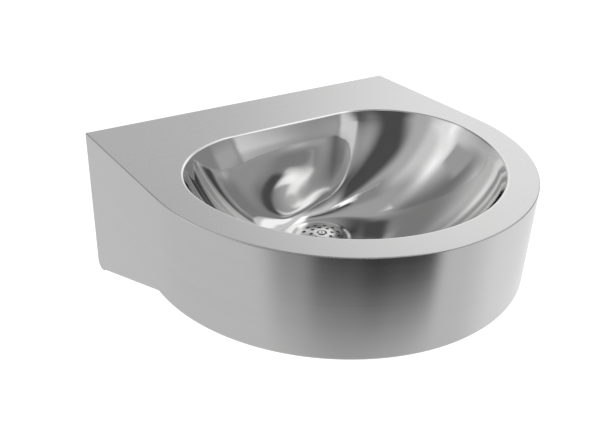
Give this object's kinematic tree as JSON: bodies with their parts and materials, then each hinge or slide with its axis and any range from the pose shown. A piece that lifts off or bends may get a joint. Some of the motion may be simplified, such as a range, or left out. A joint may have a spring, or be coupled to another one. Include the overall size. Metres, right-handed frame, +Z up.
{
  "type": "stainless steel hand wash basin",
  "caption": "Wall-hung half-round hand wash basin of brushed stainless sheet with a polished pressed bowl, sloping side panels and a domed sieve waste.",
  "frame": {"origin": "centre of the four wall fixing holes, in the plane of the wall", "axes": "+X to the right seen from the room, +Y into the wall, +Z up"},
  "size_m": [0.45, 0.422, 0.1843],
  "materials": {
    "steel_brushed": "stainless sheet, fine satin grain along the width",
    "steel_polished": "stainless, polished nearly to a mirror",
    "steel_mill": "stainless, plain mill finish",
    "steel_pressed": "stainless, polished pressing",
    "steel_screw": "stainless, turned and polished",
    "pad_grey": "matt sound-deadening rubber",
    "rubber_black": "matt black rubber",
    "plastic_white": "white moulded polypropylene, slight sheen",
    "brass": "plain turned brass"
  },
  "bodies": {
    "basin": {"deck": "steel_brushed", "bowl": "steel_polished", "apron": "steel_brushed", "rear_rail": "steel_mill", "left_wall_bracket": "steel_mill", "right_wall_bracket": "steel_mill", "ledge_channel": "steel_mill", "ledge_pads": "pad_grey", "bowl_pad": "pad_grey", "earth_tag": "steel_mill", "earth_bolt": "brass", "earth_washers": "brass", "earth_nut": "brass", "upper_seal": "rubber_black", "lower_seal": "rubber_black", "waste_body": "plastic_white", "screw_insert": "brass"},
    "sieve": {"sieve": "steel_pressed"},
    "screw_washer": {"screw_washer": "steel_screw"},
    "waste_screw": {"waste_screw": "steel_screw"}
  },
  "joints": [
    {"name": "sieve_lift", "type": "slide", "parent": "basin", "child": "sieve", "axis": [0, 0, 1], "range_m": [0, 0.13]},
    {"name": "screw_rise", "type": "slide", "parent": "sieve", "child": "screw_washer", "axis": [0, 0, 1], "range_m": [0, 0.013]},
    {"name": "screw_turn", "type": "hinge", "parent": "screw_washer", "child": "waste_screw", "pos_m": [0, -0.175, -0.02], "axis": [0, 0, 1], "range_deg": [0, 4680]}
  ],
  "couplings": [
    {"joint": "screw_rise", "follows": "screw_turn", "m_per_rad": 0.000159}
  ]
}
